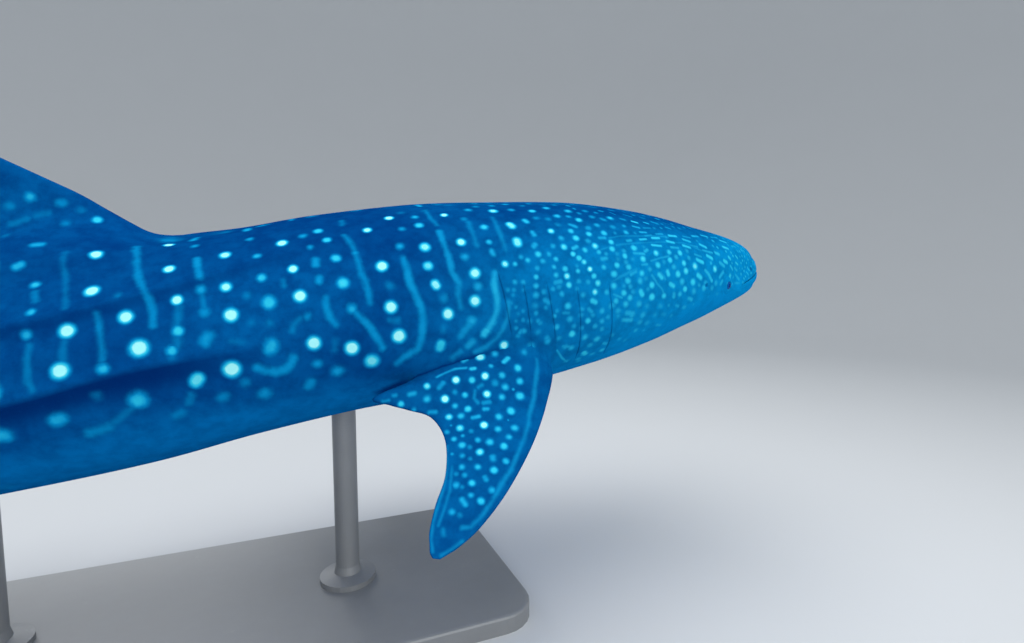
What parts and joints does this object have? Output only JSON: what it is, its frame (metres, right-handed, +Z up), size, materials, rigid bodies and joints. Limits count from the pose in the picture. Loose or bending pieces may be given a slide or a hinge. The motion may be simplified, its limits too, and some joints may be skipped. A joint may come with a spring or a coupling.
{
  "type": "whale shark model on a display stand",
  "caption": "Life-size still whale shark in a slightly climbing swim, with broad flat head, gill slits, ridged flanks and all fins, held by short rods on a flat base.",
  "frame": {"origin": "centre of the stand base's underside, on the floor", "axes": "+Z up, +X towards the animal's head, -Y its right side"},
  "size_m": [6.6463, 2.1643, 2.0996],
  "materials": {
    "skin": "satin skin, dark blue with pale spots and bars, pale belly",
    "eye": "polished near black",
    "stand": "satin grey paint"
  },
  "bodies": {
    "root": {"head": "skin", "gill_region": "skin", "trunk_front": "skin", "trunk_rear": "skin", "tail_root": "skin", "tail_stem": "skin", "pectoral_fin_right": "skin", "pectoral_fin_left": "skin", "pelvic_fin_right": "skin", "pelvic_fin_left": "skin", "dorsal_fin_first": "skin", "dorsal_fin_second": "skin", "anal_fin": "skin", "caudal_fin_upper": "skin", "caudal_fin_lower": "skin", "eye_right": "eye", "eye_left": "eye", "stand_base": "stand", "stand_rod_front": "stand", "stand_rod_rear": "stand"}
  },
  "joints": []
}
